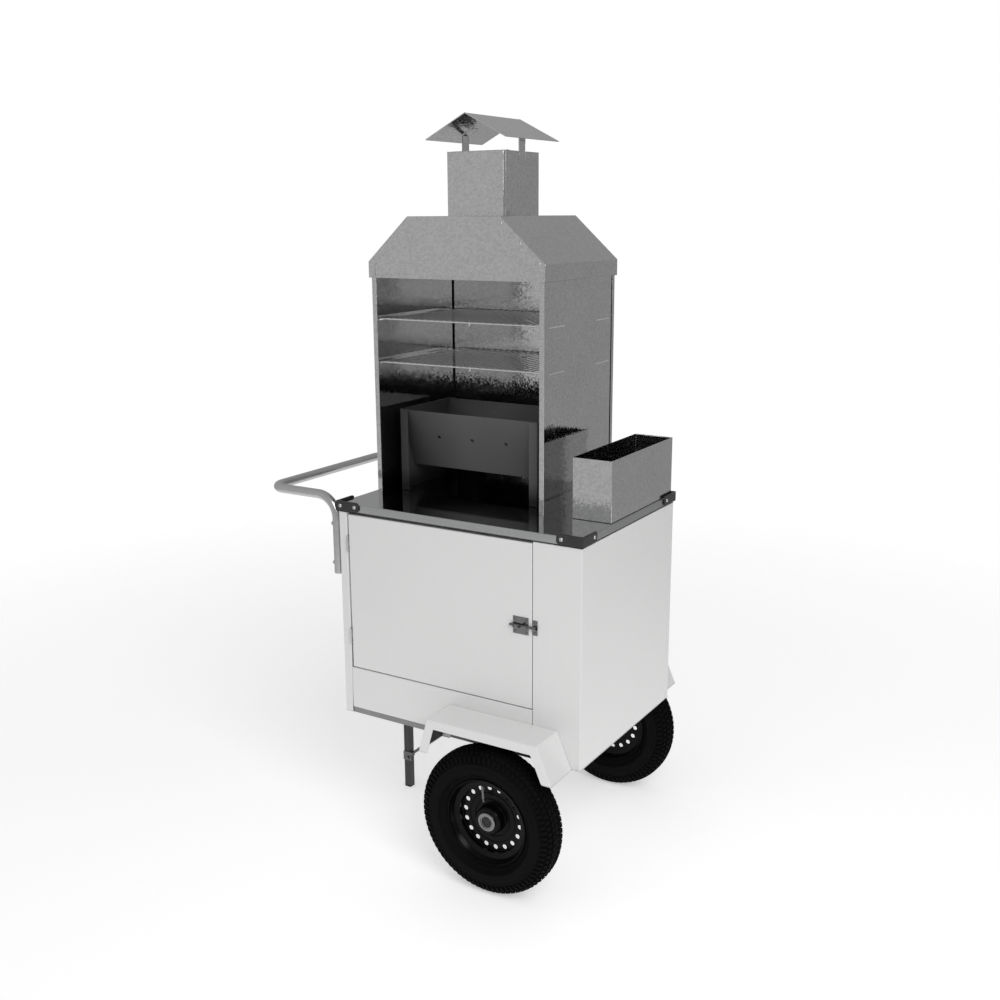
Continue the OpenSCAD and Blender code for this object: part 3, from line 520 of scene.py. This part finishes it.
def on_wheel(centre, turn, radius, out):
    """A point at a turn and radius about a wheel's axle, and out from its middle plane.

    centre is the wheel's middle point and its sign, which is 1 where out is -Y.
    """
    at, sign = centre
    return Vector((at.x + radius * math.cos(turn), at.y - sign * out, at.z + radius * math.sin(turn)))


def lathe(name, outline, segments, centre, closed, sharp):
    """Turns (radius, out) points about a wheel's axle. Edges over sharp degrees stay crisp."""
    verts, faces = [], []
    for i in range(segments):
        turn = math.tau * i / segments
        verts += [on_wheel(centre, turn, radius, out) for radius, out in outline]
    count = len(outline)
    last = count if closed else count - 1
    for i in range(segments):
        here, ahead = i * count, ((i + 1) % segments) * count
        for k in range(last):
            after = (k + 1) % count
            face = (here + k, here + after, ahead + after, ahead + k)
            faces.append(face if centre[1] < 0 else face[::-1])
    mesh = mesh_from(name, verts, faces, True)
    bm = bmesh.new()
    bm.from_mesh(mesh)
    bmesh.ops.remove_doubles(bm, verts=bm.verts, dist=1e-6)
    bmesh.ops.recalc_face_normals(bm, faces=bm.faces)
    for edge in bm.edges:
        edge.smooth = edge.calc_face_angle(0.0) < math.radians(sharp)
    bm.to_mesh(mesh)
    bm.free()
    return add_object(name, mesh)


def islands(node):
    """The box of each separate solid of a CAD node."""
    bm = bmesh.new()
    bm.from_mesh(NODES[node].data)
    bmesh.ops.remove_doubles(bm, verts=bm.verts, dist=WELD)
    left = set(bm.verts)
    boxes = []
    while left:
        queue = [left.pop()]
        points = []
        while queue:
            vert = queue.pop()
            points.append(vert.co.copy())
            for edge in vert.link_edges:
                other = edge.other_vert(vert)
                if other in left:
                    left.remove(other)
                    queue.append(other)
        low = Vector([min(p[i] for p in points) for i in range(3)])
        high = Vector([max(p[i] for p in points) for i in range(3)])
        boxes.append((low, high))
    bm.free()
    return sorted(boxes, key=lambda box: tuple(box[0]))


def surface(node, start, direction):
    """Where a ray first meets a CAD node."""
    bm = bmesh.new()
    bm.from_mesh(NODES[node].data)
    hit = BVHTree.FromBMesh(bm).ray_cast(Vector(start), Vector(direction))[0]
    bm.free()
    return hit


def strip(name, low, high, radius, body, slot):
    """A flat bar with rounded edges between two corners."""
    bm = bmesh.new()
    bmesh.ops.create_cube(bm, size=1.0)
    for vert in bm.verts:
        vert.co = [(low[i] + high[i]) / 2 + vert.co[i] * (high[i] - low[i]) for i in range(3)]
    bmesh.ops.bevel(bm, geom=bm.edges[:], offset=radius, segments=2, profile=0.5, affect="EDGES")
    for face in bm.faces:
        face.smooth = True
    mesh = bpy.data.meshes.new(name)
    bm.to_mesh(mesh)
    bm.free()
    return finish_piece(add_object(name, mesh), body, slot)


def cross_head(bm, place, radius, height, washer):
    """Adds a pan head with a cross recess to bm, standing on the XY plane of place."""
    segments = 24
    skirt = [(1.0, 0.0), (1.0, 0.35), (0.93, 0.62), (0.80, 0.84), (0.64, 0.96)]
    if washer:
        skirt = [(washer, 0.0), (washer, 0.22), (1.02, 0.26)] + skirt[1:]
    rings = []
    for reach, rise in skirt:
        ring = []
        for k in range(segments):
            turn = k * math.tau / segments
            spot = Vector((math.cos(turn) * radius * reach, math.sin(turn) * radius * reach, height * rise))
            ring.append(bm.verts.new(place @ spot))
        rings.append(ring)
    for low, high in zip(rings, rings[1:]):
        for k in range(segments):
            after = (k + 1) % segments
            bm.faces.new((low[k], low[after], high[after], high[k])).smooth = True
    # The cross recess: its floor is narrower than its mouth, and about half the head deep
    half, arm = radius * 0.11, radius * 0.46
    corners = []
    for quarter in range(4):
        turn = Matrix.Rotation(quarter * math.pi / 2, 3, "Z")
        corners += [turn @ Vector(c) for c in ((half, half, 0), (arm, half, 0), (arm, -half, 0))]
    order = sorted(corners, key=lambda c: math.atan2(c.y, c.x))
    top = [bm.verts.new(place @ (c + Vector((0, 0, height)))) for c in order]
    floor = [bm.verts.new(place @ (c * 0.8 + Vector((0, 0, height * 0.45)))) for c in order]
    count = len(order)
    for k in range(count):
        bm.faces.new((top[k], top[(k + 1) % count], floor[(k + 1) % count], floor[k]))
    bm.faces.new(floor)
    loops = []
    for ring in (rings[-1], top):
        for k in range(len(ring)):
            pair = (ring[k], ring[(k + 1) % len(ring)])
            loops.append(bm.edges.get(pair) or bm.edges.new(pair))
    bmesh.ops.triangle_fill(bm, use_beauty=True, edges=loops)


def front_spots(node, across, up):
    """The (point, outward) spots on the front of a CAD node, at these X and Z places."""
    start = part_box(node)[0][1] - 50 * MM
    return [(surface(node, (x, start, z), (0, 1, 0)), (0, -1, 0)) for x in across for z in up]


def heads(name, spots, radius, height, body, slot, washer=0.0, twist=37):
    """Screw heads at (point, outward) spots, in one piece. Each turns twist degrees past the last."""
    bm = bmesh.new()
    for number, (point, outward) in enumerate(spots):
        turn = Vector(outward).to_track_quat("Z", "Y").to_matrix().to_4x4()
        spin = Matrix.Rotation(math.radians(twist * (number + 1)), 4, "Z")
        cross_head(bm, Matrix.Translation(point) @ turn @ spin, radius, height, washer)
    bmesh.ops.recalc_face_normals(bm, faces=bm.faces)
    mesh = bpy.data.meshes.new(name)
    bm.to_mesh(mesh)
    bm.free()
    return finish_piece(add_object(name, mesh), body, slot)


# ---- Sheet metal ----

# Thickness of the sheets
ZINC, PANEL, BLACK, STRAP, MOULDING = 1.2 * MM, 1.5 * MM, 2.0 * MM, 2.0 * MM, 4.5 * MM

for node in ("left_panel", "right_panel", "back_panel", "door_panel", "fender_front", "fender_back"):
    formed(node, 2.2 * MM, 0.3 * MM, PANEL)
formed("lower_front_panel", 2.0 * MM, 0.3 * MM, PANEL)
for node in ("chamber_back_wall", "hood_shell", "chimney", "side_bin"):
    formed(node, 1.6 * MM, 0.25 * MM, ZINC)
for node in ("chamber_left_wall", "chamber_right_wall"):
    formed(node, 0.45 * MM, 0.2 * MM, ZINC, 2, material=SMOOTH_ZINC)
formed("cap_roof", 1.8 * MM, 0.25 * MM, ZINC)
formed("cap_straps", 1.8 * MM, 0.3 * MM, STRAP)
for node in ("firebox_left_side", "firebox_right_side", "firebox_trough"):
    formed(node, 2.4 * MM, 0.35 * MM, BLACK)
for node in ("guard_front_left", "guard_front_right", "guard_back_left", "guard_back_right"):
    formed(node, 1.1 * MM, 1.1 * MM, MOULDING, 3, "moulding")

# Larger faces inside and under a fender get painted shade, a black paint; smaller faces are its edges, which
# keep the white paint
LEAST_SHADED_FACE = 600 * MM * MM
for side, inward in (("front", 1), ("back", -1)):
    low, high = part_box(f"fender_{side}")
    middle = (low[0] + high[0]) / 2

    def under_fender(face):
        slope_inside = abs(face.normal.x) > 0.5 and face.normal.x * (middle - face.center.x) > 0
        inside = face.normal.z < -0.5 or face.normal.y * inward > 0.5 or slope_inside
        return inside and face.area > LEAST_SHADED_FACE

    second_finish(bpy.data.objects[f"fender_{side}.sheet"], FENDER_SHADE, under_fender)

worktop = formed("worktop", 2.2 * MM, 0.3 * MM, PANEL)
second_finish(worktop, BRUSHED_EDGE, lambda face: abs(face.normal.z) < 0.6)


# ---- Hems, seams and laps ----

# Hems along the lower edge of the hood's front and back
HEM_PROUD, HEM_HEIGHT = 0.55 * MM, 8.5 * MM
for side, sign in (("front", -1), ("back", 1)):
    low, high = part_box(f"hood_{side}")
    outer = low[1] if sign < 0 else high[1]
    near, far = sorted((outer, outer + sign * HEM_PROUD))
    strip(f"hood_{side}.hem", (low[0] + 2 * MM, near, low[2] + 0.2 * MM),
          (high[0] - 2 * MM, far, low[2] + HEM_HEIGHT), 0.25 * MM, "cart", "galvanised")

# Painted shadow: black strips along the chamber's back edges, outside each side wall and inside in the
# corner, stand for the shade in the gaps of its laps
WALL_INSET = 1.45 * MM
SHADE_STRIP_PROUD = 0.9 * MM
CORNER_INSET, CORNER_HALF = 2.7 * MM, 1.26 * MM
low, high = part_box("chamber_back_wall")
for side, wall_x, outward in (("left", low[0] + WALL_INSET, -1), ("right", high[0] - WALL_INSET, 1)):
    near, far = sorted((wall_x, wall_x + outward * SHADE_STRIP_PROUD))
    strip(f"chamber_back_wall.{side}_sealant", (near, low[1] - 2.4 * MM, low[2] + 1 * MM),
          (far, low[1] - 0.05 * MM, high[2] - 1 * MM), 0.3 * MM, "cart", "rubber_foot")
    corner = wall_x - outward * CORNER_INSET
    strip(f"chamber_back_wall.{side}_corner_sealant",
          (corner - CORNER_HALF, high[1] - ZINC - 2.6 * MM, low[2] + 1 * MM),
          (corner + CORNER_HALF, high[1] - ZINC, high[2] - 1 * MM), 0.6 * MM, "cart", "rubber_foot")

# The lap that closes the chimney, at the front of its right side
low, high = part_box("chimney")
strip("chimney.lap", (high[0] - 0.1 * MM, low[1] + 0.6 * MM, low[2] + 3 * MM),
      (high[0] + 0.55 * MM, low[1] + 20 * MM, high[2] - 0.3 * MM), 0.25 * MM, "cart", "galvanised")

# Laps inside the bin's right wall, at its front and back corners
LAP_FROM, LAP_TO = 1.3 * MM, 14 * MM
low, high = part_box("side_bin")
inside = high[0] - ZINC
for end, near, far in (
    ("front", low[1] + LAP_FROM, low[1] + LAP_TO),
    ("back", high[1] - LAP_TO, high[1] - LAP_FROM),
):
    strip(f"side_bin.{end}_lap", (inside - 0.5 * MM, near, low[2] + 2 * MM),
          (inside + 0.1 * MM, far, high[2] - 2 * MM), 0.2 * MM, "side_bin", "galvanised")


# ---- Screws ----

# A guard screw faces along the thinnest side of its box, away from the worktop's middle
GUARD_SCREW_RADIUS, GUARD_SCREW_HEIGHT, GUARD_SCREW_WASHER = 4.0 * MM, 2.0 * MM, 1.22
low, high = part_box("worktop")
top_middle = [(low[i] + high[i]) / 2 for i in range(3)]
spots = []
for low, high in islands("guard_screws"):
    size = high - low
    axis = min(range(3), key=lambda i: size[i])
    middle = (low + high) / 2
    outward = Vector((0, 0, 0))
    outward[axis] = 1.0 if middle[axis] > top_middle[axis] else -1.0
    spots.append((middle - outward * size[axis] / 2, outward))
screws = heads("guard_screws.heads", spots, GUARD_SCREW_RADIUS, GUARD_SCREW_HEIGHT,
               "cart", "zinc_plated", GUARD_SCREW_WASHER)
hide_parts("guard_screws")

LATCH_SCREW_INSET = 5.5 * MM
LATCH_SCREW_RADIUS, LATCH_SCREW_HEIGHT = 3.0 * MM, 1.5 * MM
low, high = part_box("latch_plate")
across = (low[0] + LATCH_SCREW_INSET, high[0] - LATCH_SCREW_INSET)
up = (low[2] + LATCH_SCREW_INSET, high[2] - LATCH_SCREW_INSET)
heads("latch_plate.screws", front_spots("latch_plate", across, up),
      LATCH_SCREW_RADIUS, LATCH_SCREW_HEIGHT, "door", "latch_chrome", twist=23)
low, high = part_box("latch_keeper")
across = [(low[0] + high[0]) / 2]
up = (low[2] + LATCH_SCREW_INSET, high[2] - LATCH_SCREW_INSET)
heads("latch_keeper.screws", front_spots("latch_keeper", across, up),
      LATCH_SCREW_RADIUS, LATCH_SCREW_HEIGHT, "cart", "latch_chrome", twist=51)


# ---- Support leg ----

formed("leg_brace", 0.3 * MM, 0.3 * MM, 0.1 * MM, 2, "bar", DULLED_ZINC)
formed_bar("leg_bolt", DULLED_ZINC)
formed_bar("support_leg", LEG_PAINT)


# ---- Wheels ----

TREAD_DEPTH = 4.6 * MM
# Blocks in each row of the tread
PITCHES = 76
# From the tyre's crown in to its first sidewall ring
SECTION_HEIGHT = 58 * MM
# The sidewall below its rings: it leans out from one (radius, out) to the other, in millimetres
WALL_INNER, WALL_OUTER = (112, 25), (130, 42)
# Moulded rings of the sidewall: radius, and height above the wall, in millimetres
SIDEWALL_RINGS = [
    (130, 0), (127.4, 0), (126.8, -1.4), (125.6, -1.4), (125.0, 0), (122.6, 0), (122.0, -1.4), (120.8, -1.4),
    (120.2, 0), (118.2, 0.4), (116.6, 0.4), (116.0, -1.4), (114.6, -1.4), (114.0, 0.2), (112.6, 0.2),
    (111.6, -0.8),
]
# The tyre's foot in the rim: depth below the rim's edge, and place across, in millimetres
TYRE_FOOT = [(-0.2, 23.4), (1.2, 21.4), (5.4, 13), (5.4, -13), (1.2, -21.4), (-0.2, -23.4)]
# Rolled edges and pressed steps: depth below the rim's edge, place across and radius, in millimetres
RIM_RINGS = [
    (1.0, 25.6, 1.3), (1.0, -25.6, 1.3), (9.9, 10.9, 1.0), (25.2, -3.6, 1.9), (46.5, -4.1, 1.1),
    (62.0, -4.1, 1.4),
]
# Hub and cap: radius, and place out from the cap's front, in millimetres
BOSS_OUTLINE = [(23.4, -4.8), (27, -4.8), (32.0, -6.0), (34.6, -8.6), (35.6, -13)]
# The boss's foot: radius, and place out from the wheel's middle, in millimetres
BOSS_FOOT = [(36.4, -3.2), (37.6, -4.3), (23.4, -4.3)]
CAP_OUTLINE = [
    (0, -1.9), (6.0, -1.9), (6.5, -0.9), (8.4, -0.9), (8.9, -1.8), (11.4, -1.8), (11.9, -0.8), (13.9, -0.8),
    (14.4, -1.6), (16.9, -1.6), (17.4, -0.1), (21.8, 0.0), (23.2, -0.7), (24.0, -2.2), (24.0, -5.0),
    (20.5, -5.0), (20.5, -2.6), (0, -2.6),
]
CAP_CENTRE_RADIUS = 13.9 * MM
# Sides of the turned pieces
TYRE_SIDES, RING_SIDES, HUB_SIDES = 144, 96, 72


def tyre_profile(radius, half, lean):
    """The tyre's outline, by lean in degrees from the crown (0) to the sidewall (90)."""
    angle = math.radians(abs(lean))
    r = radius - SECTION_HEIGHT + SECTION_HEIGHT * max(math.cos(angle), 0.0) ** 0.62
    return r, math.copysign(half * math.sin(angle) ** 0.75, lean)


def tyre_inside(radius, half, lean, depth):
    """The outline moved inward by depth along its normal."""
    r, out = tyre_profile(radius, half, lean)
    ahead, ahead_out = tyre_profile(radius, half, min(lean + 0.5, 89.5))
    behind, behind_out = tyre_profile(radius, half, max(lean - 0.5, -89.5))
    along = Vector((ahead - behind, ahead_out - behind_out)).normalized()
    return r - along.y * depth, out + along.x * depth


def carcass(radius, half, rim):
    """The closed outline of the tyre under its tread, with moulded rings on each sidewall."""
    slope = (WALL_OUTER[1] - WALL_INNER[1]) / (WALL_OUTER[0] - WALL_INNER[0])
    side = []
    for r, rise in SIDEWALL_RINGS:
        wall = WALL_INNER[1] + slope * (r - WALL_INNER[0])
        side.append((r * MM, (wall + rise) * MM))
    points = []
    for step in range(-45, 46):
        lean = step * 2
        # The tread's blocks stand above this outline, and run out between 71 and 76 degrees
        fall = min(max((76 - abs(lean)) / 5, 0.0), 1.0)
        groove = 0.9 * MM if 79 < abs(lean) < 83 else 0.0
        points.append(tyre_inside(radius, half, lean, TREAD_DEPTH * fall + groove))
    inner = [(rim - away * MM, out * MM) for away, out in TYRE_FOOT]
    return points + side[1:] + inner + [(r, -out) for r, out in reversed(side[1:])]


def tread(name, radius, half, centre):
    """Rows of moulded blocks, each a curved lug with sloping walls."""
    bm = bmesh.new()

    def corner(turn, lean, depth):
        return bm.verts.new(on_wheel(centre, turn, *tyre_inside(radius, half, lean, depth)))

    pitch = math.tau / PITCHES
    draft = 0.07 * pitch
    deep = TREAD_DEPTH + 0.3 * MM
    # Each row's cross-sections: lean in degrees, start and length in pitches
    rows = []
    for mirror in (-1, 1):
        rows.append([(mirror * 3.2, 0.00, 0.62), (mirror * 9.5, 0.22 * mirror, 0.62)])
        rows.append([(mirror * 13.0, 0.45, 0.66), (mirror * 20.0, 0.62, 0.62), (mirror * 27.0, 0.52, 0.60)])
        rows.append([(mirror * 31.0, 0.05, 0.66), (mirror * 38.5, 0.20, 0.60), (mirror * 46.0, 0.12, 0.64)])
        rows.append([(mirror * 50.0, 0.55, 0.66), (mirror * 58.0, 0.50, 0.56), (mirror * 66.0, 0.50, 0.52),
                     (mirror * 73.0, 0.50, 0.34)])
    for row in rows:
        for number in range(PITCHES):
            sections = []
            for place, (lean, start, span) in enumerate(row):
                edge = 1.0 if place == 0 else (-1.0 if place == len(row) - 1 else 0.0)
                pull = edge * math.copysign(0.9, lean)
                top = 0.05 * MM if abs(lean) < 70 else 2.2 * MM
                first, last = (number + start) * pitch, (number + start + span) * pitch
                sections.append([
                    corner(first, lean, deep),
                    corner(first + draft, lean + pull, top),
                    corner(last - draft, lean + pull, top),
                    corner(last, lean, deep),
                ])
            for one, two in zip(sections, sections[1:]):
                for k in range(3):
                    bm.faces.new((one[k], one[k + 1], two[k + 1], two[k]))
            bm.faces.new(sections[0])
            bm.faces.new(sections[-1])
    bmesh.ops.recalc_face_normals(bm, faces=bm.faces)
    mesh = bpy.data.meshes.new(name)
    bm.to_mesh(mesh)
    bm.free()
    return add_object(name, mesh)


def bead(at, out, radius, steps=10):
    """A round bead's outline for lathe."""
    turns = [k * math.tau / steps for k in range(steps)]
    return [(at + radius * math.cos(turn), out + radius * math.sin(turn)) for turn in turns]


def make_hub(side, centre):
    """The hub's boss and the pressed cap in it."""
    body = f"{side}_wheel"
    low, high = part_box(f"hub_cap_{side}")
    middle, sign = centre
    front = abs((low[1] if sign > 0 else high[1]) - middle.y)
    cap = (high[2] - low[2]) / 2
    boss = [(r * MM, front + out * MM) for r, out in BOSS_OUTLINE]
    boss += [(r * MM, out * MM) for r, out in BOSS_FOOT]
    finish_piece(lathe(f"hub_{side}.boss", boss, HUB_SIDES, centre, True, 30), body, "rim_black")
    pressed = [(min(r * MM, cap), front + out * MM) for r, out in CAP_OUTLINE]
    piece = lathe(f"hub_cap_{side}.pressing", pressed, HUB_SIDES, centre, False, 30)
    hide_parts(f"hub_cap_{side}")
    finish_piece(piece, body, "cap_steel")

    def near_axle(face):
        return math.hypot(face.center.x - middle.x, face.center.z - middle.z) < CAP_CENTRE_RADIUS

    second_finish(piece, CAP_CENTRE, near_axle)


def make_wheel(side, sign):
    """The pieces of one wheel: tyre, rim rings, hub boss and cap."""
    body = f"{side}_wheel"
    tyre = f"tyre_{side}"
    low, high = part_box(tyre)
    centre = Vector([(low[i] + high[i]) / 2 for i in range(3)]), sign
    radius, half = (high[2] - low[2]) / 2, (high[1] - low[1]) / 2
    rim_low, rim_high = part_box(f"rim_{side}")
    rim = (rim_high[2] - rim_low[2]) / 2
    outline = carcass(radius, half, rim)
    for piece in (lathe(f"{tyre}.carcass", outline, TYRE_SIDES, centre, True, 40),
                  tread(f"{tyre}.tread", radius, half, centre)):
        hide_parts(tyre)
        finish_piece(piece, body, "tyre_rubber")
    for number, (away, out, thick) in enumerate(RIM_RINGS):
        outline = bead(rim - away * MM, out * MM, thick * MM)
        ring = lathe(f"rim_{side}.ring{number}", outline, RING_SIDES, centre, True, 50)
        finish_piece(ring, body, "rim_black")
    make_hub(side, centre)


make_wheel("front", 1)
make_wheel("back", -1)
for side in ("front", "back"):
    formed(f"disc_{side}", 0.9 * MM, 0.7 * MM, 3.0 * MM, 2, "pressing")


# ---- Frame, and the nodes shown as they are ----

for node in ("axle_brackets", "handle_bolts", "leg_foot"):
    formed_bar(node)
formed_bar("bottom_frame", RAIL_PAINT)

for node in NODES:
    if not NODES[node].hide_render:
        repaint(node)


# ---- Floor and camera ----

FLOOR_RADIUS, FLOOR_SIDES = 3.4, 96
FLOOR_GLOW, FADE_FROM = 0.40, 0.9


def make_floor():
    """A pale disc that fades into the white backdrop, so that no horizon shows."""
    turns = [k * math.tau / FLOOR_SIDES for k in range(FLOOR_SIDES)]
    outline = [(FLOOR_RADIUS * math.cos(turn), FLOOR_RADIUS * math.sin(turn), 0) for turn in turns]
    mesh = mesh_from("floor", outline, [tuple(range(FLOOR_SIDES))])
    floor = add_object("floor", mesh)
    s = Shader("pale studio floor", Roughness=0.8, Specular_IOR_Level=0.1, Emission_Strength=FLOOR_GLOW)
    s.set("Base Color", s.blend(s.noise(0.6, 3), grey(0.90), grey(0.93)))
    s.set("Emission Color", (1, 1, 1, 1))
    distance = s.add("VectorMath", operation="LENGTH")
    s.put(distance.inputs[0], s.coordinate)
    s.set("Alpha", s.span(distance.outputs["Value"], 1.0, 0.0, FADE_FROM, FLOOR_RADIUS))
    mesh.materials.append(s.material)


make_floor()
make_world()
make_lamp()
make_camera()
bpy.context.scene.view_settings.view_transform = "Standard"
bpy.context.scene.view_settings.look = "None"
